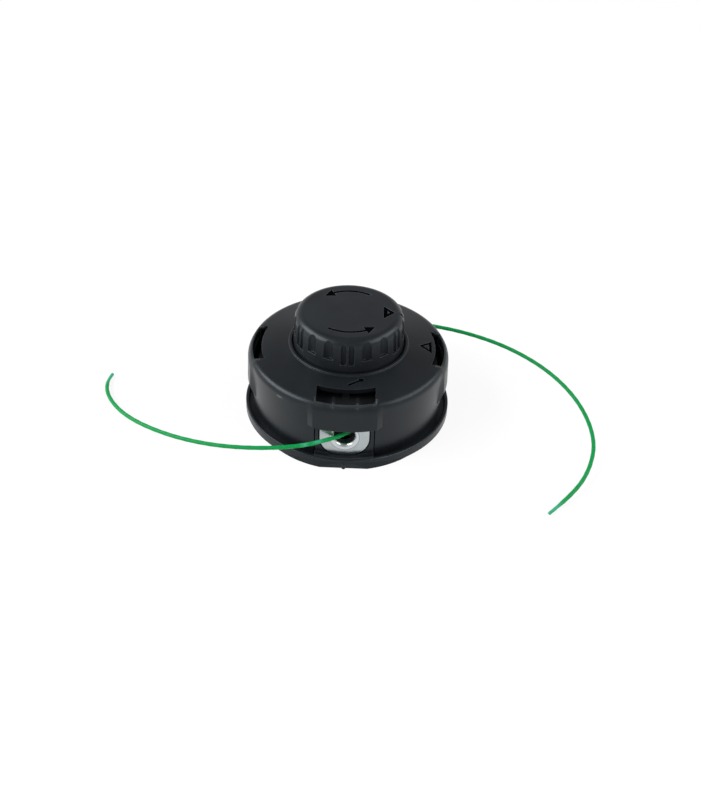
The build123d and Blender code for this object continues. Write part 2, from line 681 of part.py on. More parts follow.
def make_bump_knob():
    """Hollow fluted knob with a collar that stays under the cover."""
    collar_radius = KNOB_RADIUS + COLLAR_WIDTH
    profile = [
        (KNOB_INNER_RADIUS, SPOOL_TOP_Z),
        (collar_radius, SPOOL_TOP_Z),
        (collar_radius, COLLAR_TOP_Z),
        (KNOB_RADIUS, COLLAR_TOP_Z),
        (KNOB_TOP_RADIUS, KNOB_TOP_Z),
        (0, KNOB_TOP_Z),
        (0, KNOB_TOP_Z - KNOB_CROWN),
        (KNOB_INNER_RADIUS, KNOB_TOP_Z - KNOB_CROWN),
    ]
    inner_round = max(KNOB_EDGE_ROUND - KNOB_CROWN, 0)
    knob = turned(profile, [0, 0, 0, 0, KNOB_EDGE_ROUND, 0, 0, inner_round])
    for cutter in flute_cutters():
        knob = knob - cutter
    triangle = triangle_mark(
        KNOB_TRIANGLE_TIP, KNOB_TRIANGLE_LENGTH, KNOB_TRIANGLE_WIDTH, KNOB_TRIANGLE_LINE
    )
    arrows = at_sides(turn_arrow(), OUTLET_SIDES)
    marks = Pos(0, 0, KNOB_TOP_Z - MARK_DEPTH) * extrude(triangle + arrows, amount=REACH)
    notch = Pos(KNOB_TOP_RADIUS, 0, KNOB_TOP_Z) * Box(
        2 * INDEX_NOTCH_LENGTH, INDEX_NOTCH_WIDTH, 2 * INDEX_NOTCH_DEPTH
    )
    return knob - marks - notch


def make_spool():
    """Two-chamber spool on a hollow hub, with knob seat, lugs and an anchor notch."""
    hub_bore = ARBOR_RADIUS + SPOOL_BORE_CLEARANCE
    seat_radius = KNOB_INNER_RADIUS - KNOB_SEAT_CLEARANCE
    spool = ring(SPOOL_HUB_INNER_RADIUS, SPOOL_HUB_RADIUS, SPOOL_BOTTOM_Z, SPOOL_TOP_Z)
    spool = spool + ring(hub_bore, SPOOL_HUB_RADIUS, WEB_UNDER_Z, WEB_TOP_Z)
    for level in range(3):
        low = SPOOL_BOTTOM_Z + level * (SPOOL_FLANGE + CHAMBER_HEIGHT)
        spool = spool + ring(SPOOL_HUB_INNER_RADIUS, SPOOL_RADIUS, low, low + SPOOL_FLANGE)
    seat_top = SPOOL_TOP_Z + KNOB_SEAT_HEIGHT
    flange_z = SPOOL_TOP_Z - SPOOL_FLANGE
    spool = spool + ring(seat_radius - KNOB_SEAT_WALL, seat_radius, flange_z, seat_top)
    half = LUG_SIZE / 2
    lug_top = SPOOL_TOP_Z + LUG_HEIGHT
    lug = front_sector(LUG_SIZE, LUG_RADIUS - half, LUG_RADIUS + half, flange_z, lug_top)
    spool = spool + at_sides(lug, [360 / LUG_COUNT * i for i in range(LUG_COUNT)])
    divider_low = SPOOL_BOTTOM_Z + SPOOL_FLANGE + CHAMBER_HEIGHT
    divider_top = divider_low + SPOOL_FLANGE
    notch = slab(ANCHOR_NOTCH_WIDTH, divider_low, divider_top, SPOOL_RADIUS - ANCHOR_NOTCH_DEPTH)
    return spool - notch


def make_winding(level):
    """Wound line that fills one chamber of the spool, as one solid."""
    chamber_low = SPOOL_BOTTOM_Z + SPOOL_FLANGE + level * (SPOOL_FLANGE + CHAMBER_HEIGHT)
    low = chamber_low + WINDING_CLEARANCE
    high = low + CHAMBER_HEIGHT - 2 * WINDING_CLEARANCE
    inner = SPOOL_HUB_RADIUS + WINDING_CLEARANCE
    corners = [(inner, low), (WINDING_RADIUS, low), (WINDING_RADIUS, high), (inner, high)]
    return turned(corners, [0, WINDING_ROUND, WINDING_ROUND, 0])


def make_spring():
    """Round-wire compression spring with a closed coil at each end, in tangent half turns."""
    end_step = (SPRING_WIRE + SPRING_END_GAP) / 2
    open_height = SPRING_LENGTH - SPRING_WIRE - 4 * end_step
    open_step = open_height / (2 * SPRING_OPEN_TURNS)
    steps = [end_step] * 2 + [open_step] * (2 * SPRING_OPEN_TURNS) + [end_step] * 2
    z = FLOOR_TOP_Z + SPRING_WIRE / 2
    side = 1
    half_turns = []
    for step in steps:
        start = Vector(side * SPRING_RADIUS, 0, z)
        end = Vector(-side * SPRING_RADIUS, 0, z + step)
        middle = Vector(0, side * (end - start).length / 2, z + step / 2)
        half_turns.append(ThreePointArc(start, middle, end))
        z += step
        side = -side
    path = Wire(half_turns)
    section = Plane(origin=path @ 0, z_dir=path % 0) * Circle(SPRING_WIRE / 2)
    return sweep(section, path=path)


def main():
    """Make every piece and write it to its own file."""
    eyelet = make_eyelet()
    pieces = {
        "housing": make_housing(),
        "mounting_nut": make_mounting_nut(),
        "eyelet_front": eyelet,
        "eyelet_rear": Rot(0, 0, 180) * eyelet,
        "cover": make_cover(),
        "spool": make_spool(),
        "bump_knob": make_bump_knob(),
        "spring": make_spring(),
        "line_winding_lower": make_winding(0),
        "line_winding_upper": make_winding(1),
        "line_end_front": line_end("line_end_front", FRONT_LINE),
        "line_end_rear": line_end("line_end_rear", REAR_LINE),
    }
    os.makedirs("parts", exist_ok=True)
    for name, piece in pieces.items():
        export_step(piece, f"parts/{name}.step")


main()
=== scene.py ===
import logging
import math
from dataclasses import dataclass
from enum import Enum

import bmesh
import bpy
from mathutils import Matrix, Vector


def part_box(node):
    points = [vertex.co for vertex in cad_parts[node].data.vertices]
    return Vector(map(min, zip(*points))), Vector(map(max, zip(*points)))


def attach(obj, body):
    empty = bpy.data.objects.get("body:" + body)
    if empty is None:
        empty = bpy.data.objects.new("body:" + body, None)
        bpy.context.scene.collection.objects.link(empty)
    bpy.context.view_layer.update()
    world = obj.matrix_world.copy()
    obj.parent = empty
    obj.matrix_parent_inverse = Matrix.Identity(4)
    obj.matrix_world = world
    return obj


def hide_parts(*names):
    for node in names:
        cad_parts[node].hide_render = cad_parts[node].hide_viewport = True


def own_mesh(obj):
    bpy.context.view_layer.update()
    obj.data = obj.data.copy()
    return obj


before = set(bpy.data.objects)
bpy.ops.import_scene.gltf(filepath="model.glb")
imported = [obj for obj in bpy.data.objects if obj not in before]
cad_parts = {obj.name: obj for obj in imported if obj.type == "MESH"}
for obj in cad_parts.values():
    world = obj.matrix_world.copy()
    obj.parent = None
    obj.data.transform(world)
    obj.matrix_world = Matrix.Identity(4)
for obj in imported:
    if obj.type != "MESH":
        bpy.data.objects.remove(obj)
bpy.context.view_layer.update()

# Looks of a bump-feed line trimmer head, in the frame of its solids: metres, standing on z = 0 with
# its spin axis on Z, the bump knob up and the front line outlet at -Y.

LOG = logging.getLogger("trimmer_head")
MM = 0.001
NYLON_IOR = 1.53


class Body(Enum):
    """The bodies that pieces ride on."""

    HOUSING = "housing"
    SPOOL = "spool"


class Slot(Enum):
    """The record's material slots."""

    CHARCOAL_NYLON = "charcoal_nylon"
    KNOB_NYLON = "knob_nylon"
    SPOOL_NYLON = "spool_nylon"
    BRIGHT_EYELET = "bright_eyelet"
    PLATED_STEEL = "plated_steel"
    SPRING_STEEL = "spring_steel"
    CUTTING_LINE = "cutting_line"


def linear(code: str) -> tuple[float, float, float, float]:
    """Turn an sRGB hex colour to linear values.

    Args:
        code: The colour as "#RRGGBB".

    Returns:
        Red, green, blue and an alpha of 1, all linear.
    """
    shares = [int(code[i:i + 2], 16) / 255 for i in (1, 3, 5)]
    values = [c / 12.92 if c <= 0.04045 else ((c + 0.055) / 1.055) ** 2.4 for c in shares]
    return (*values, 1.0)


def per_metre(size_mm: float) -> float:
    """Texture scale that gives a feature of a size in millimetres."""
    return 1 / (size_mm * MM)


def add_node(tree: bpy.types.NodeTree, kind: str, settings: dict | None = None,
             links: dict | None = None) -> bpy.types.Node:
    """Add a node, give it its settings and link what feeds it.

    Args:
        tree: The tree that takes the node.
        kind: The node's type without "ShaderNode".
        settings: Values by property name, or by the name or number of an input.
        links: Output sockets by the name or number of the input that they feed.

    Returns:
        The new node.
    """
    node = tree.nodes.new("ShaderNode" + kind)
    for key, value in (settings or {}).items():
        if isinstance(key, str) and hasattr(node, key):
            setattr(node, key, value)
        else:
            node.inputs[key].default_value = value
    for key, source in (links or {}).items():
        tree.links.new(source, node.inputs[key])
    return node


def blank_material(name: str) -> tuple[bpy.types.Material, bpy.types.NodeTree]:
    """Make a material with an empty tree.

    Args:
        name: The material's name.

    Returns:
        The material and its tree.
    """
    material = bpy.data.materials.new(name)
    material.use_nodes = True
    material.node_tree.nodes.clear()
    return material, material.node_tree


def add_object(name: str, mesh: bmesh.types.BMesh, smooth: bool = True) -> bpy.types.Object:
    """Turn a finished bmesh into an object at the origin.

    Args:
        name: The piece's name.
        mesh: The shape, which is freed.
        smooth: Whether its faces are shaded smooth.

    Returns:
        The new object.
    """
    data = bpy.data.meshes.new(name)
    for face in mesh.faces:
        face.smooth = smooth
    mesh.to_mesh(data)
    mesh.free()
    piece = bpy.data.objects.new(name, data)
    bpy.context.scene.collection.objects.link(piece)
    return piece


def finish_piece(piece: bpy.types.Object, finish: bpy.types.Material, body: Body) -> bpy.types.Object:
    """Give a new piece its material and body.

    Args:
        piece: The piece.
        finish: Its material.
        body: The body that it rides on.

    Returns:
        The same piece.
    """
    piece.data.materials.append(finish)
    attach(piece, body.value)
    return piece


@dataclass(frozen=True)
class PaleSpot:
    """A small pale spot: an ellipsoid in which the surface is lighter."""

    centre_mm: tuple[float, float, float]
    size_mm: tuple[float, float, float]
    turn_deg: float


@dataclass(frozen=True)
class SoftZone:
    """A ring-shaped zone of a moulding whose edges are rounder than elsewhere, so that their paler band,
    part wear and part painted highlight, is wider there.
    """

    radius_mm: float
    reach_mm: float
    level_mm: float
    half_height_mm: float
    edge_mm: float

    def edge(self, tree: bpy.types.NodeTree, place: bpy.types.NodeSocket,
             plain_mm: float) -> bpy.types.NodeSocket:
        """Add the edge round by place.

        Args:
            tree: The material's tree.
            place: The object coordinates.
            plain_mm: The round outside the zone.

        Returns:
            The round in metres.
        """
        flat = add_node(tree, "VectorMath", {"operation": "MULTIPLY", 1: (1.0, 1.0, 0.0)}, {0: place})
        radius = add_node(tree, "VectorMath", {"operation": "LENGTH"}, {0: flat.outputs[0]})
        ring = add_node(tree, "Math", {"operation": "COMPARE", 1: self.radius_mm * MM,
                                       2: self.reach_mm * MM}, {0: radius.outputs["Value"]})
        height = add_node(tree, "SeparateXYZ", links={0: place}).outputs["Z"]
        level = add_node(tree, "Math", {"operation": "COMPARE", 1: self.level_mm * MM,
                                        2: self.half_height_mm * MM}, {0: height})
        inside = add_node(tree, "Math", {"operation": "MULTIPLY"},
                          {0: ring.outputs[0], 1: level.outputs[0]})
        return add_node(tree, "MapRange", {"To Min": plain_mm * MM, "To Max": self.edge_mm * MM},
                        {"Value": inside.outputs[0]}).outputs[0]


@dataclass(frozen=True)
class MouldedNylon:
    """Glass-filled nylon, injection moulded in a spark-eroded tool.

    The eye sees a near black that a white surround lifts to charcoal, with a broad dull sheen, a fine
    even grain, faint clouds where the melt flowed, and edges that are a little paler, partly from wear
    and partly as a painted highlight.
    """

    name: str
    colour: str
    flow_colour: str
    wear_and_highlight_colour: str
    roughness: float
    # Low, because a matt grained surface sends back little of a white surround.
    specular: float = 0.25
    # The sheen is slightly cool.
    sheen_colour: str = "#EAF7FF"
    roughness_spread: float = 0.05
    # The tool's grain is about 0.2 mm. It is drawn coarser, because a pixel is half a millimetre.
    grain_mm: float = 0.8
    grain_depth_mm: float = 0.012
    grain_strength: float = 0.5
    flow_mm: float = 13.0
    flow_range: tuple[float, float] = (0.35, 0.65)
    edge_mm: float = 0.35
    edge_samples: int = 8
    # Cosines of the bend at which the paler edge starts and is full, and its share there. The paler
    # edge is partly wear and partly a painted highlight.
    wear_and_highlight_range: tuple[float, float] = (0.985, 0.75)
    wear_and_highlight_share: float = 0.85
    pale_spots: tuple[PaleSpot, ...] = ()
    soft: SoftZone | None = None

    def build(self) -> bpy.types.Material:
        """Make the material.

        Returns:
            The finished material.
        """
        material, tree = blank_material(self.name)
        place = add_node(tree, "TexCoord").outputs["Object"]
        flow = add_node(tree, "TexNoise", {"Scale": per_metre(self.flow_mm), "Detail": 4.0},
                        {"Vector": place}).outputs[0]
        grain = add_node(tree, "TexNoise", {"Scale": per_metre(self.grain_mm), "Detail": 2.0},
                         {"Vector": place}).outputs[0]
        bevel = add_node(tree, "Bevel", {"samples": self.edge_samples, "Radius": self.edge_mm * MM})
        if self.soft:
            tree.links.new(self.soft.edge(tree, place, self.edge_mm), bevel.inputs["Radius"])
        soft = bevel.outputs[0]
        flat = add_node(tree, "NewGeometry").outputs["Normal"]
        # Edges are painted paler than the faces: partly wear, partly a painted highlight.
        bend = add_node(tree, "VectorMath", {"operation": "DOT_PRODUCT"}, {0: soft, 1: flat})
        edge = add_node(tree, "MapRange", {"From Min": self.wear_and_highlight_range[0], "From Max": self.wear_and_highlight_range[1],
                                           "To Max": self.wear_and_highlight_share},
                        {"Value": bend.outputs["Value"]}).outputs[0]
        wear_and_highlight = add_node(tree, "Math", {"operation": "MULTIPLY"}, {0: edge, 1: flow}).outputs[0]
        cloud = add_node(tree, "MapRange", {"From Min": self.flow_range[0],
                                            "From Max": self.flow_range[1]}, {"Value": flow})
        colour = add_node(tree, "Mix", {"data_type": "RGBA", 6: linear(self.colour),
                                        7: linear(self.flow_colour)}, {0: cloud.outputs[0]}).outputs[2]
        for mark in [wear_and_highlight, *(self.pale_spot_mask(tree, place, grain, pale_spot) for pale_spot in self.pale_spots)]:
            colour = add_node(tree, "Mix", {"data_type": "RGBA", 7: linear(self.wear_and_highlight_colour)},
                              {0: mark, 6: colour}).outputs[2]
        rough = add_node(tree, "MapRange", {"To Min": self.roughness - self.roughness_spread,
                                            "To Max": self.roughness + self.roughness_spread},
                         {"Value": flow})
        bump = add_node(tree, "Bump", {"Strength": self.grain_strength,
                                       "Distance": self.grain_depth_mm * MM},
                        {"Height": grain, "Normal": soft})
        shader = add_node(tree, "BsdfPrincipled", {"IOR": NYLON_IOR, "Specular IOR Level": self.specular,
                                                   "Specular Tint": linear(self.sheen_colour)},
                          {"Base Color": colour, "Roughness": rough.outputs[0],
                           "Normal": bump.outputs[0]})
        add_node(tree, "OutputMaterial", links={"Surface": shader.outputs[0]})
        return material

    @staticmethod
    def pale_spot_mask(tree: bpy.types.NodeTree, place: bpy.types.NodeSocket,
                   grain: bpy.types.NodeSocket, pale_spot: PaleSpot) -> bpy.types.NodeSocket:
        """Add the mask of one pale spot.

        Args:
            tree: The material's tree.
            place: The object coordinates.
            grain: A noise that breaks the mark up.
            pale_spot: The mark.

        Returns:
            The mask, from 0 outside to about 1 in the middle.
        """
        local = add_node(tree, "Mapping", {"vector_type": "TEXTURE",
                                           "Location": [x * MM for x in pale_spot.centre_mm],
                                           "Rotation": (0, 0, math.radians(pale_spot.turn_deg)),
                                           "Scale": [x * MM / 2 for x in pale_spot.size_mm]},
                         {"Vector": place})
        reach = add_node(tree, "VectorMath", {"operation": "LENGTH"}, {0: local.outputs[0]})
        inside = add_node(tree, "MapRange", {"From Min": 1.0, "From Max": 0.3, "To Max": 1.4},
                          {"Value": reach.outputs["Value"]})
        mask = add_node(tree, "Math", {"operation": "MULTIPLY", "use_clamp": True},
                        {0: inside.outputs[0], 1: grain})
        return mask.outputs[0]


@dataclass(frozen=True)
class Funnel:
    """The polished mouth of an eyelet about its axis, with the groove that edges it, whose shade is painted
    as a darker ring.
    """

    level_mm: float
    radius_mm: float
    groove_mm: float
    polish: float
    colour: str
    groove_shade_colour: str

    def reach(self, tree: bpy.types.NodeTree, place: bpy.types.NodeSocket) -> bpy.types.NodeSocket:
        """Add the distance from the eyelet's axis.

        Args:
            tree: The material's tree.
            place: The object coordinates.

        Returns:
            The distance in metres.
        """
        across = add_node(tree, "VectorMath", {"operation": "MULTIPLY_ADD", 1: (1.0, 0.0, 1.0),
                                               2: (0.0, 0.0, -self.level_mm * MM)}, {0: place})
        reach = add_node(tree, "VectorMath", {"operation": "LENGTH"}, {0: across.outputs[0]})
        return reach.outputs["Value"]


@dataclass(frozen=True)
class WorkedMetal:
    """Bare or plated metal, pressed, drawn or turned and then tumbled.

    The eye sees a bright satin surface with soft reflections, small clouds of duller metal and very
    fine handling scratches.
    """

    name: str
    colour: str
    dull_colour: str
    roughness: float
    cloud_mm: float = 3.0
    # Real scratches are far finer than a pixel, and are drawn wide enough to break up the gloss.
    scratch_mm: float = 0.5
    scratch_depth_mm: float = 0.008
    scratch_strength: float = 0.4
    scratch_turn: tuple[float, float, float] = (0.3, 0.5, 0.4)
    scratch_stretch: float = 0.12
    roughness_spread: float = 0.08
    funnel: Funnel | None = None

    def build(self) -> bpy.types.Material:
        """Make the material.

        Returns:
            The finished material.
        """
        material, tree = blank_material(self.name)
        place = add_node(tree, "TexCoord").outputs["Object"]
        cloud = add_node(tree, "TexNoise", {"Scale": per_metre(self.cloud_mm), "Detail": 3.0},
                         {"Vector": place}).outputs[0]
        stretched = add_node(tree, "Mapping", {"Rotation": self.scratch_turn,
                                               "Scale": (self.scratch_stretch, 1.0, 1.0)},
                             {"Vector": place})
        scratch = add_node(tree, "TexNoise", {"Scale": per_metre(self.scratch_mm), "Detail": 1.0},
                           {"Vector": stretched.outputs[0]}).outputs[0]
        colour = add_node(tree, "Mix", {"data_type": "RGBA", 6: linear(self.colour),
                                        7: linear(self.dull_colour)}, {0: cloud}).outputs[2]
        rough = add_node(tree, "MapRange", {"To Min": self.roughness - self.roughness_spread,
                                            "To Max": self.roughness + self.roughness_spread},
                         {"Value": cloud}).outputs[0]
        if self.funnel:
            colour, rough = self.polish_funnel(tree, self.funnel.reach(tree, place), colour, rough)
        bump = add_node(tree, "Bump", {"Strength": self.scratch_strength,
                                       "Distance": self.scratch_depth_mm * MM}, {"Height": scratch})
        shader = add_node(tree, "BsdfPrincipled", {"Metallic": 1.0},
                          {"Base Color": colour, "Roughness": rough, "Normal": bump.outputs[0]})
        add_node(tree, "OutputMaterial", links={"Surface": shader.outputs[0]})
        return material

    def polish_funnel(self, tree: bpy.types.NodeTree, reach: bpy.types.NodeSocket,
                      colour: bpy.types.NodeSocket,
                      rough: bpy.types.NodeSocket) -> tuple[bpy.types.NodeSocket, bpy.types.NodeSocket]:
        """Polish the funnel inside its groove, and paint the groove's shade as a darker ring.

        Args:
            tree: The material's tree.
            reach: The distance from the eyelet's axis.
            colour: The colour so far.
            rough: The roughness so far.

        Returns:
            The new colour and roughness.
        """
        radius = self.funnel.radius_mm * MM
        half = self.funnel.groove_mm / 2 * MM
        inside = add_node(tree, "MapRange", {"From Min": radius, "From Max": radius - half},
                          {"Value": reach}).outputs[0]
        # The groove's shade is painted in as a darker ring.
        groove = add_node(tree, "Math", {"operation": "COMPARE", 1: radius, 2: half},
                          {0: reach}).outputs[0]
        for mask, tint in ((inside, self.funnel.colour), (groove, self.funnel.groove_shade_colour)):
            colour = add_node(tree, "Mix", {"data_type": "RGBA", 7: linear(tint)},
                              {0: mask, 6: colour}).outputs[2]
        rough = add_node(tree, "Mix", {3: self.funnel.polish}, {0: inside, 2: rough}).outputs[0]
        return colour, rough


@dataclass(frozen=True)
class ExtrudedLine:
    """Extruded nylon monofilament, dyed through and a little translucent.

    The eye sees a clear green with a soft gloss, faint bands along the draw, and cut ends that are
    bruised a little paler. The same paler colour paints glints, a painted highlight, near the eyelet.
    """

    name: str
    colour: str
    band_colour: str
    bruise_and_glint_colour: str
    roughness: float = 0.3
    roughness_spread: float = 0.15
    specular: float = 0.12
    band_mm: float = 4.0
    # A share of the light goes in, and green goes farthest.
    depth_share: float = 0.2
    depth_mm: float = 0.6
    depth_by_colour: tuple[float, float, float] = (0.3, 1.0, 0.5)
    # Per point: the real bruise of the cut end, and the painted highlight of the glints.
    bruise_and_glint_layer: str = "bruise_and_glint"

    def build(self) -> bpy.types.Material:
        """Make the material.

        Returns:
            The finished material.
        """
        material, tree = blank_material(self.name)
        place = add_node(tree, "TexCoord").outputs["Object"]
        band = add_node(tree, "TexNoise", {"Scale": per_metre(self.band_mm), "Detail": 2.0},
                        {"Vector": place}).outputs[0]
        bruise_and_glint = add_node(tree, "Attribute", {"attribute_name": self.bruise_and_glint_layer}).outputs["Fac"]
        colour = add_node(tree, "Mix", {"data_type": "RGBA", 6: linear(self.colour),
                                        7: linear(self.band_colour)}, {0: band}).outputs[2]
        bruised_and_glinting = add_node(tree, "Mix", {"data_type": "RGBA", 7: linear(self.bruise_and_glint_colour)},
                           {0: bruise_and_glint, 6: colour}).outputs[2]
        rough = add_node(tree, "MapRange", {"To Min": self.roughness,
                                            "To Max": self.roughness + self.roughness_spread},
                         {"Value": band})
        shader = add_node(tree, "BsdfPrincipled",
                          {"IOR": NYLON_IOR, "Specular IOR Level": self.specular,
                           "Subsurface Weight": self.depth_share, "Subsurface Radius": self.depth_by_colour,
                           "Subsurface Scale": self.depth_mm * MM},
                          {"Base Color": bruised_and_glinting, "Roughness": rough.outputs[0]})
        add_node(tree, "OutputMaterial", links={"Surface": shader.outputs[0]})
        return material


@dataclass
class SolidPiece:
    """A piece whose solid already has its form. It is shown as it is, in a better finish."""

    node: str
    slot: Slot

    def dress(self, finish: bpy.types.Material) -> bpy.types.Object:
        """Give the solid its finish.

        Args:
            finish: The material.

        Returns:
            The solid's object.
        """
        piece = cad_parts[self.node]
        piece.data.materials.clear()
        piece.data.materials.append(finish)
        return piece


@dataclass(frozen=True)
class Glint:
    """A painted glint on a line: a paler spot, standing in for a highlight, on the side that faces a
    direction.
    """

    distance: float
    length: float
    faces: tuple[float, float, float]


@dataclass
class CuttingLine:
    """A loose end of cutting line that lies out from its eyelet, with a slight twist in it."""

    name: str
    node: str
    route: list[tuple[float, float, float]]
    length: float
    glints: tuple[Glint, ...] = ()
    diameter: float = 0.002
    segments: int = 16
    samples: int = 48
    lobes: int = 4
    lobe_share: float = 0.07
    twist_pitch: float = 0.024
    tip_length: float = 0.011
    tip_share: float = 0.8
    # The tip tapers and is bruised sooner than its length says.
    taper_gain: float = 2.0
    bruise_gain: float = 1.6

    def centreline(self) -> list[Vector]:
        """Read the smooth line that the route's points guide.

        Returns:
            Points along it, from the eyelet to the cut end.
        """
        curve = bpy.data.curves.new(self.name + "_route", "CURVE")
        curve.dimensions = "3D"
        curve.resolution_u = self.samples
        spline = curve.splines.new("NURBS")
        spline.points.add(len(self.route) - 1)
        for point, place in zip(spline.points, self.route):
            point.co = (*place, 1.0)
        spline.order_u = 3
        spline.use_endpoint_u = True
        holder = bpy.data.objects.new(self.name + "_route", curve)
        bpy.context.scene.collection.objects.link(holder)
        shown = holder.evaluated_get(bpy.context.evaluated_depsgraph_get())
        line = bpy.data.meshes.new_from_object(shown)
        points = [vertex.co.copy() for vertex in line.vertices]
        bpy.data.objects.remove(holder)
        bpy.data.curves.remove(curve)
        bpy.data.meshes.remove(line)
        return points

    def frames(self, points: list[Vector]) -> tuple[list[Matrix], list[float]]:
        """Carry a square frame along the line without spin, then add the twist.

        Args:
            points: The line's points.

        Returns:
            One placing matrix and one distance from the eyelet for each point.
        """
        ways = [(b - a).normalized() for a, b in zip(points, points[1:])]
        ways.append(ways[-1])
        turn = Vector((0, 0, 1)).rotation_difference(ways[0])
        travelled = 0.0
        places, distances = [], []
        for i, (point, way) in enumerate(zip(points, ways)):
            if i:
                travelled += (point - points[i - 1]).length
                turn = ways[i - 1].rotation_difference(way) @ turn
            twist = Matrix.Rotation(math.tau * travelled / self.twist_pitch, 4, "Z")
            places.append(Matrix.Translation(point) @ turn.to_matrix().to_4x4() @ twist)
            distances.append(travelled)
        return places, distances

    def build(self, finish: bpy.types.Material) -> bpy.types.Object:
        """Draw the line's section along its route.

        Args:
            finish: The line's material.

        Returns:
            The line's piece.
        """
        points = self.centreline()
        places, distances = self.frames(points)
        mesh = bmesh.new()
        layer = mesh.verts.layers.float.new(ExtrudedLine.bruise_and_glint_layer)
        ring = bmesh.ops.create_circle(mesh, cap_ends=True, segments=self.segments,
                                       radius=self.diameter / 2)["verts"]
        for vert in ring:
            wave = math.cos(self.lobes * math.atan2(vert.co.y, vert.co.x))
            vert.co *= 1 - self.lobe_share * (1 - wave) / 2
        edges = list(mesh.edges)
        bmesh.ops.transform(mesh, matrix=places[0], verts=ring)
        before, width_before = places[0], 1.0
        for place, distance in zip(places[1:], distances[1:]):
            grown = bmesh.ops.extrude_edge_only(mesh, edges=edges)["geom"]
            ring = [item for item in grown if isinstance(item, bmesh.types.BMVert)]
            edges = [item for item in grown if isinstance(item, bmesh.types.BMEdge)]
            tip = max(0.0, 1 - (distances[-1] - distance) / self.tip_length)
            width = 1 - (1 - self.tip_share) * min(1.0, tip * self.taper_gain)
            grow = Matrix.Diagonal((width / width_before,) * 3 + (1.0,))
            bmesh.ops.transform(mesh, matrix=place @ grow @ before.inverted(), verts=ring)
            for vert in ring:
                # The cut end is bruised paler; the glints paint a highlight on the side that faces their
                # way.
                vert[layer] = max(min(1.0, tip * self.bruise_gain),
                                  self.glinted(vert.co - place.translation, distance))
            before, width_before = place, width
        bmesh.ops.contextual_create(mesh, geom=ring)
        bmesh.ops.recalc_face_normals(mesh, faces=mesh.faces)
        piece = finish_piece(add_object(self.name, mesh), finish, Body.HOUSING)
        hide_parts(self.node)
        return piece

    def glinted(self, out: Vector, distance: float) -> float:
        """Work out how much painted glint a point of the line takes from its glints.

        Args:
            out: The way from the line's middle to the point.
            distance: How far along the line the point lies.

        Returns:
            A share from 0 to 1.
        """
        shares = [0.0]
        for glint in self.glints:
            near = max(0.0, 1 - abs(distance - glint.distance) / (glint.length / 2))
            shares.append(near * out.normalized().dot(Vector(glint.faces).normalized()))
        return max(shares)


@dataclass
class WoundLine:
    """The line in one of the spool's chambers, whose outer turns lie side by side."""

    name: str
    node: str
    turns: int = 3
    inner_radius: float = 0.0179
    arc_steps: int = 6
    around: int = 120

    def build(self, finish: bpy.types.Material) -> bpy.types.Object:
        """Spin the section of the winding about the spool's axis.

        Args:
            finish: The line's material.

        Returns:
            The winding's piece.
        """
        low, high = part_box(self.node)
        half = (high[2] - low[2]) / (2 * self.turns)
        mesh = bmesh.new()
        section = [mesh.verts.new((self.inner_radius, 0, low[2] + half))]
        for turn in range(self.turns):
            middle = low[2] + half * (2 * turn + 1)
            for step in range(self.arc_steps + 1):
                angle = math.pi * (step / self.arc_steps - 0.5)
                section.append(mesh.verts.new((high[0] + half * (math.cos(angle) - 1), 0,
                                               middle + half * math.sin(angle))))
        section.append(mesh.verts.new((self.inner_radius, 0, high[2] - half)))
        edges = [mesh.edges.new(pair) for pair in zip(section, section[1:] + section[:1])]
        bmesh.ops.spin(mesh, geom=[*section, *edges], cent=(0, 0, 0), axis=(0, 0, 1),
                       angle=math.tau, steps=self.around, use_merge=True)
        bmesh.ops.remove_doubles(mesh, verts=mesh.verts, dist=0.001 * MM)
        bmesh.ops.recalc_face_normals(mesh, faces=mesh.faces)
        piece = finish_piece(add_object(self.name, mesh), finish, Body.SPOOL)
        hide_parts(self.node)
        return piece


@dataclass
class BumpSpring:
    """The compression spring under the spool, closed at both ends."""

    name: str = "bump_spring"
    node: str = "spring"
    joint: str = "bump_slide"
    wire: float = 0.0016
    end_gap: float = 0.0002
    open_turns: int = 3
    sides: int = 12
    steps: int = 40

    def build(self, finish: bpy.types.Material) -> bpy.types.Object:
        """Wind the wire from the floor to the spool's web.

        Args:
            finish: The wire's material.

        Returns:
            The spring's piece.
        """
        low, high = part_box(self.node)
        closed = self.wire + self.end_gap
        rise = (high[2] - low[2] - self.wire - 2 * closed) / self.open_turns
        start = Vector((high[0] - self.wire / 2, 0, low[2] + self.wire / 2))
        mesh = bmesh.new()
        end = bmesh.ops.create_circle(mesh, cap_ends=True, segments=self.sides, radius=self.wire / 2)
        upright = Matrix.Rotation(math.pi / 2, 4, "X")
        bmesh.ops.transform(mesh, matrix=Matrix.Translation(start) @ upright, verts=end["verts"])
        last, ends = list(mesh.faces), []
        for turns, pitch in ((1, closed), (self.open_turns, rise), (1, closed)):
            spun = bmesh.ops.spin(mesh, geom=last, cent=(0, 0, 0), axis=(0, 0, 1),
                                  dvec=(0, 0, pitch / self.steps), angle=math.tau * turns,
                                  steps=self.steps * turns)
            last = [item for item in spun["geom_last"] if isinstance(item, bmesh.types.BMFace)]
            ends += last
        bmesh.ops.delete(mesh, geom=ends[:-1], context="FACES_ONLY")
        bmesh.ops.recalc_face_normals(mesh, faces=mesh.faces)
        piece = finish_piece(add_object(self.name, mesh), finish, Body.HOUSING)
        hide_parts(self.node)
        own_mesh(piece)
        return piece


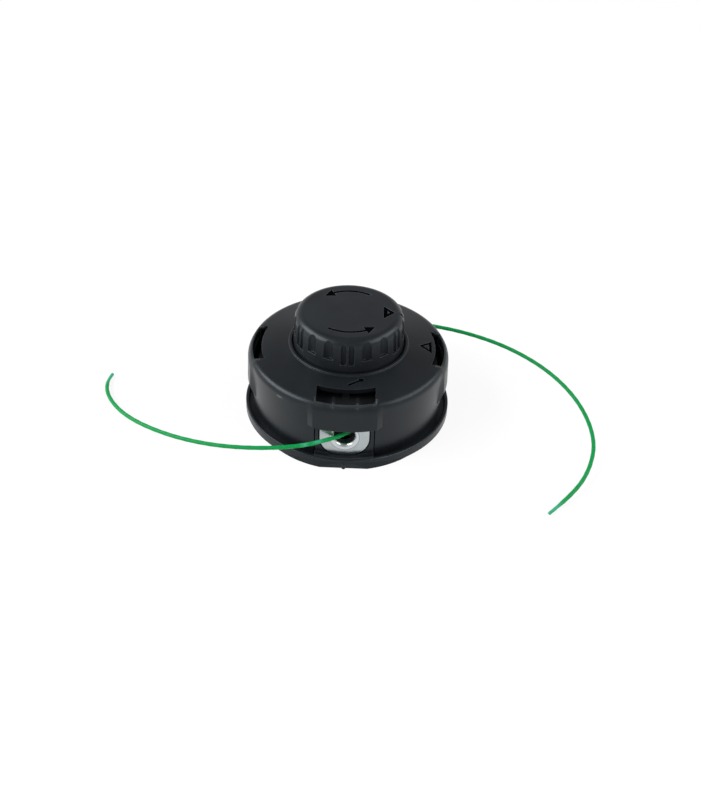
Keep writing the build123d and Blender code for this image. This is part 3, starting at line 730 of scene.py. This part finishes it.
@dataclass
class HookRibs:
    """Thin ribs behind the bridges over both outlets, which reach on from the cover's short hooks."""

    name: str = "hook_ribs"
    spacing: float = 0.0108
    width: float = 0.0014
    near: float = 0.0386
    far: float = 0.0452
    low: float = 0.0290
    high: float = 0.0326
    edge_round: float = 0.0002

    def build(self, finish: bpy.types.Material) -> bpy.types.Object:
        """Set two ribs behind each bridge.

        Args:
            finish: The cover's material.

        Returns:
            The ribs' piece.
        """
        mesh = bmesh.new()
        size = Matrix.Diagonal((self.width, self.far - self.near, self.high - self.low, 1.0))
        for x in (-self.spacing / 2, self.spacing / 2):
            for side in (-1, 1):
                middle = (x, side * (self.near + self.far) / 2, (self.low + self.high) / 2)
                bmesh.ops.create_cube(mesh, size=1.0, matrix=Matrix.Translation(middle) @ size)
        bmesh.ops.bevel(mesh, geom=list(mesh.edges), offset=self.edge_round, affect="EDGES", segments=2,
                        profile=0.5, material=-1)
        return finish_piece(add_object(self.name, mesh), finish, Body.HOUSING)


@dataclass
class EyeletJointShade:
    """Painted shade in the open joints round the two eyelet plates: a black strip where the gap is dark.

    The real gap is under half a pixel, and it is drawn wider, so that it shows.
    """

    name: str = "eyelet_joint_shade"
    half_width: float = 0.0113
    foot: float = 0.0050
    head: float = 0.0197
    corner: float = 0.0084
    corner_steps: int = 16
    face_radius: float = 0.04577
    depth: float = 0.0014
    gap: float = 0.0006

    def build(self, finish: bpy.types.Material) -> bpy.types.Object:
        """Run a black strip of painted shade round the sides and the foot of each plate.

        Args:
            finish: The black material that paints the shade.

        Returns:
            The joints' piece.
        """
        mesh = bmesh.new()
        level = (self.foot + self.head) / 2
        middle = Matrix.Translation((0, self.depth / 2, level))
        size = Matrix.Diagonal((2 * self.half_width, self.depth, self.head - self.foot, 1.0))
        bmesh.ops.create_cube(mesh, size=1.0, matrix=middle @ size)
        corners = [edge for edge in mesh.edges if all(vert.co.z < level for vert in edge.verts)
                   and edge.verts[0].co.x * edge.verts[1].co.x > 0]
        bmesh.ops.bevel(mesh, geom=corners, offset=self.corner, affect="EDGES", segments=self.corner_steps,
                        profile=0.5, material=-1)
        mesh.normal_update()
        caps = [face for face in mesh.faces if abs(face.normal.y) > 0.5 or face.normal.z > 0.5]
        bmesh.ops.delete(mesh, geom=caps, context="FACES")
        bmesh.ops.solidify(mesh, geom=list(mesh.faces), thickness=-self.gap)
        for vert in mesh.verts:
            vert.co.y -= math.sqrt(self.face_radius ** 2 - vert.co.x ** 2)
        copy = bmesh.ops.duplicate(mesh, geom=[*mesh.verts, *mesh.edges, *mesh.faces])["geom"]
        turned = [item for item in copy if isinstance(item, bmesh.types.BMVert)]
        bmesh.ops.rotate(mesh, cent=(0, 0, 0), matrix=Matrix.Rotation(math.pi, 3, "Z"), verts=turned)
        bmesh.ops.recalc_face_normals(mesh, faces=mesh.faces)
        piece = add_object(self.name, mesh, smooth=False)
        return finish_piece(piece, finish, Body.HOUSING)


@dataclass
class MarkShadePlate:
    """A black plate of painted shade at the floor of marks sunk into a top face, flat or conical, which
    light hardly reaches.
    """

    name: str
    body: Body
    slot: Slot
    middle: tuple[float, float]
    size: tuple[float, float]
    level: float
    slope: float = 0.0
    level_radius: float = 0.0
    rounded: bool = False
    divisions: int = 24
    thickness: float = 0.0003

    def build(self, finish: bpy.types.Material) -> bpy.types.Object:
        """Lay a thin black plate of painted shade just over the marks' floor, inside the moulding
        elsewhere.

        Args:
            finish: The black material that paints the shade.

        Returns:
            The plate's piece.
        """
        mesh = bmesh.new()
        place = Matrix.Translation((*self.middle, 0)) @ Matrix.Diagonal((*self.size, 1.0, 1.0))
        if self.rounded:
            bmesh.ops.create_circle(mesh, cap_ends=True, segments=4 * self.divisions, radius=0.5,
                                    matrix=place)
        else:
            bmesh.ops.create_grid(mesh, x_segments=self.divisions, y_segments=self.divisions, size=0.5,
                                  matrix=place)
        for vert in mesh.verts:
            vert.co.z = self.level - self.slope * (vert.co.xy.length - self.level_radius)
        sunk = bmesh.ops.extrude_face_region(mesh, geom=list(mesh.faces), use_keep_orig=True)["geom"]
        under = [item for item in sunk if isinstance(item, bmesh.types.BMVert)]
        bmesh.ops.translate(mesh, vec=(0, 0, -self.thickness), verts=under)
        bmesh.ops.recalc_face_normals(mesh, faces=mesh.faces)
        return finish_piece(add_object(self.name, mesh, smooth=False), finish, self.body)


@dataclass(frozen=True)
class PhotoCamera:
    """The camera at the photograph's place, with its slight roll."""

    reach: float = 0.46775
    height: float = 0.35989
    azimuth_deg: float = 0.8
    pitch_deg: float = 37.457
    yaw_deg: float = 0.214
    roll_deg: float = 1.902
    lens_mm: float = 54.0
    sensor_mm: float = 36.0

    def build(self) -> bpy.types.Object:
        """Place the camera and make it the scene's.

        Returns:
            The camera.
        """
        data = bpy.data.cameras.new("photo_camera")
        data.sensor_width = self.sensor_mm
        data.lens = self.lens_mm
        camera = bpy.data.objects.new("photo_camera", data)
        around = Matrix.Rotation(math.radians(self.azimuth_deg), 4, "Z")
        stand = Matrix.Translation((0, -self.reach, self.height))
        aim = Matrix.Rotation(math.radians(-self.yaw_deg), 4, "Z")
        tilt = Matrix.Rotation(math.radians(90 - self.pitch_deg), 4, "X")
        roll = Matrix.Rotation(math.radians(self.roll_deg), 4, "Z")
        camera.matrix_world = around @ stand @ aim @ tilt @ roll
        bpy.context.scene.collection.objects.link(camera)
        bpy.context.scene.camera = camera
        return camera


@dataclass(frozen=True)
class Softbox:
    """An oblong soft lamp that looks at the head."""

    name: str
    place: tuple[float, float, float]
    width: float
    height: float
    watts: float

    def build(self) -> bpy.types.Object:
        """Hang the lamp.

        Returns:
            The lamp.
        """
        data = bpy.data.lights.new(self.name, "AREA")
        data.shape = "RECTANGLE"
        data.size = self.width
        data.size_y = self.height
        data.energy = self.watts
        lamp = bpy.data.objects.new(self.name, data)
        lamp.location = self.place
        lamp.rotation_euler = (-Vector(self.place)).to_track_quat("-Z", "Y").to_euler()
        bpy.context.scene.collection.objects.link(lamp)
        return lamp


@dataclass(frozen=True)
class Studio:
    """A white floor that runs out of sight, a surround that dims upwards and a soft panel at each side."""

    floor_half: float = 30.0
    floor_colour: str = "#F4F4F4"
    floor_glow: float = 0.85
    horizon: float = 0.91
    ceiling: float = 0.36
    # The surround dims between these heights, which are sines of the angle over the horizon.
    fade: tuple[float, float] = (0.1, 0.5)
    lamps: tuple[Softbox, ...] = (
        Softbox("left_panel", (-0.9, -0.12, 0.71), 1.3, 0.6, 18.0),
        Softbox("right_panel", (0.9, -0.12, 0.71), 1.3, 0.6, 10.0),
    )

    def build(self) -> None:
        """Build the floor, the surround and the lamps."""
        mesh = bmesh.new()
        bmesh.ops.create_grid(mesh, x_segments=1, y_segments=1, size=self.floor_half)
        floor = add_object("floor", mesh, smooth=False)
        floor.data.materials.append(self.floor_material())
        self.light_surround()
        for lamp in self.lamps:
            lamp.build()

    def floor_material(self) -> bpy.types.Material:
        """Make the floor's material, white where it is seen, apart from the shadow.

        Returns:
            The material.
        """
        material, tree = blank_material("white_floor")
        paper = add_node(tree, "BsdfDiffuse", {"Color": linear(self.floor_colour)})
        glow = add_node(tree, "Emission", {"Strength": 1.0})
        seen = add_node(tree, "Math", {"operation": "MULTIPLY", 1: self.floor_glow},
                        {0: self.seen_rays(tree)})
        both = add_node(tree, "MixShader", links={0: seen.outputs[0], 1: paper.outputs[0],
                                                  2: glow.outputs[0]})
        add_node(tree, "OutputMaterial", links={"Surface": both.outputs[0]})
        return material

    @staticmethod
    def seen_rays(tree: bpy.types.NodeTree) -> bpy.types.NodeSocket:
        """Find the rays that show the background as a picture.

        Args:
            tree: The tree that takes the nodes.

        Returns:
            1 for camera, glossy and transmission rays, and 0 for those that only light.
        """
        path = add_node(tree, "LightPath")
        seen = path.outputs["Is Camera Ray"]
        for kind in ("Is Glossy Ray", "Is Transmission Ray"):
            seen = add_node(tree, "Math", {"operation": "MAXIMUM"},
                            {0: seen, 1: path.outputs[kind]}).outputs[0]
        return seen

    def light_surround(self) -> None:
        """Light the world softly, as pale at the horizon as the floor far off, and dimmer overhead."""
        world = bpy.data.worlds.new("white_surround")
        bpy.context.scene.world = world
        world.use_nodes = True
        tree = world.node_tree
        tree.nodes.clear()
        way = add_node(tree, "TexCoord").outputs["Generated"]
        height = add_node(tree, "SeparateXYZ", links={0: way}).outputs["Z"]
        strength = add_node(tree, "MapRange", {"From Min": self.fade[0], "From Max": self.fade[1],
                                               "To Min": self.horizon, "To Max": self.ceiling},
                            {"Value": height})
        sky = add_node(tree, "Background", {"Color": linear("#FFFFFF")}, {"Strength": strength.outputs[0]})
        add_node(tree, "OutputWorld", links={"Surface": sky.outputs[0]})


FRONT_ROUTE = [
    (0.0022, -0.0413, 0.0152),
    (-0.0018, -0.0452, 0.0153),
    (-0.0078, -0.0480, 0.0151),
    (-0.0190, -0.0513, 0.0136),
    (-0.0375, -0.0522, 0.0119),
    (-0.0600, -0.0486, 0.0096),
    (-0.0826, -0.0394, 0.0072),
    (-0.1034, -0.0248, 0.0048),
    (-0.1156, -0.0084, 0.0030),
    (-0.1199, 0.0068, 0.0016),
    (-0.1180, 0.0142, 0.00105),
]
REAR_ROUTE = [
    (-0.0018, 0.0413, 0.0149),
    (0.0020, 0.0451, 0.0146),
    (0.0078, 0.0481, 0.0142),
    (0.0190, 0.0514, 0.0139),
    (0.0375, 0.0520, 0.0133),
    (0.0600, 0.0476, 0.0120),
    (0.0824, 0.0372, 0.0104),
    (0.1014, 0.0198, 0.0087),
    (0.1136, -0.0028, 0.0070),
    (0.1178, -0.0280, 0.0052),
    (0.1126, -0.0486, 0.0035),
    (0.1029, -0.0644, 0.0021),
    (0.0917, -0.0758, 0.00105),
]
FRONT_LENGTH = 0.1584
REAR_LENGTH = 0.2216
FRONT_GLINTS = (
    Glint(0.0165, 0.006, (0.3, -1.0, 1.0)),
    Glint(0.0225, 0.005, (-0.3, -1.0, 1.0)),
)

# The cover's crown falls from its lip. The plates of painted shade lie 0.42 mm under the crown and under
# the knob's top.
LIP_RADIUS = 0.0284
CROWN_SLOPE = 0.1702
CROWN_MARK_LEVEL = 0.03618
KNOB_MARK_LEVEL = 0.05318
MARK_SHADE_PLATES = (
    MarkShadePlate("knob_mark_shade", Body.SPOOL, Slot.KNOB_NYLON, (0.0, 0.0), (0.0424, 0.0424),
              KNOB_MARK_LEVEL, rounded=True),
    MarkShadePlate("triangle_shade", Body.HOUSING, Slot.CHARCOAL_NYLON, (0.0364, 0.0), (0.0076, 0.0110),
              CROWN_MARK_LEVEL, CROWN_SLOPE, LIP_RADIUS),
    MarkShadePlate("arrow_shade", Body.HOUSING, Slot.CHARCOAL_NYLON, (0.0045, -0.0314), (0.0102, 0.0068),
              CROWN_MARK_LEVEL, CROWN_SLOPE, LIP_RADIUS),
)

# A small spot on the shoulder where the surface is lighter.
SHOULDER_PALE_SPOT = PaleSpot(centre_mm=(-30.2, -36.0, 29.5), size_mm=(4.6, 3.0, 1.8), turn_deg=-40.0)
SHOULDER_SOFT = SoftZone(radius_mm=46.4, reach_mm=3.2, level_mm=31.6, half_height_mm=4.2, edge_mm=2.6)
EYELET_FUNNEL = Funnel(level_mm=14.7, radius_mm=6.8, groove_mm=0.3, polish=0.3, colour="#C4CACC",
                       groove_shade_colour="#8A9093")
CHARCOAL = MouldedNylon("charcoal_moulded_nylon", "#111316", "#15181B", "#54595D", 0.33,
                        pale_spots=(SHOULDER_PALE_SPOT,), soft=SHOULDER_SOFT)
KNOB = MouldedNylon("knob_moulded_nylon", "#131518", "#181B1E", "#63696D", 0.33)
SPOOL = MouldedNylon("spool_moulded_nylon", "#1B1C1E", "#202123", "#3A3B3D", 0.5)
# Painted shade: a black without sheen for the mark floors and the eyelet joints, where light hardly
# reaches.
PAINTED_SHADE = MouldedNylon("painted_shade_black", "#030304", "#050506", "#0A0A0B", 0.9, specular=0.0)
EYELET = WorkedMetal("tumbled_aluminium", "#B4BABC", "#A0A7A9", 0.24, funnel=EYELET_FUNNEL)
PLATED = WorkedMetal("zinc_plated_steel", "#B9B8AE", "#9C9C95", 0.34)
WIRE = WorkedMetal("drawn_spring_steel", "#8E8F90", "#6C6D6F", 0.3)
LINE = ExtrudedLine("green_extruded_nylon", "#047F3D", "#098947", "#379A73")


def main() -> None:
    """Build the head's looks."""
    logging.basicConfig(level=logging.INFO, format="%(name)s: %(message)s")
    PhotoCamera().build()
    line = LINE.build()
    charcoal = CHARCOAL.build()
    painted_shade = PAINTED_SHADE.build()
    made = [
        CuttingLine("front_line", "line_end_front", FRONT_ROUTE, FRONT_LENGTH, FRONT_GLINTS).build(line),
        CuttingLine("rear_line", "line_end_rear", REAR_ROUTE, REAR_LENGTH).build(line),
        WoundLine("wound_line_lower", "line_winding_lower").build(line),
        WoundLine("wound_line_upper", "line_winding_upper").build(line),
        BumpSpring().build(WIRE.build()),
        HookRibs().build(charcoal),
        EyeletJointShade().build(painted_shade),
        *(floor.build(painted_shade) for floor in MARK_SHADE_PLATES),
    ]
    for piece in made:
        LOG.info("%s has %d faces", piece.name, len(piece.data.polygons))
    eyelet = EYELET.build()
    dressed = (
        (SolidPiece("housing", Slot.CHARCOAL_NYLON), charcoal),
        (SolidPiece("cover", Slot.CHARCOAL_NYLON), charcoal),
        (SolidPiece("bump_knob", Slot.KNOB_NYLON), KNOB.build()),
        (SolidPiece("spool", Slot.SPOOL_NYLON), SPOOL.build()),
        (SolidPiece("eyelet_front", Slot.BRIGHT_EYELET), eyelet),
        (SolidPiece("eyelet_rear", Slot.BRIGHT_EYELET), eyelet),
        (SolidPiece("mounting_nut", Slot.PLATED_STEEL), PLATED.build()),
    )
    for solid, finish in dressed:
        piece = solid.dress(finish)
        LOG.info("%s is dressed in %s", piece.name, finish.name)
    Studio().build()
    bpy.context.scene.view_settings.view_transform = "Standard"


if __name__ == "__main__":
    main()
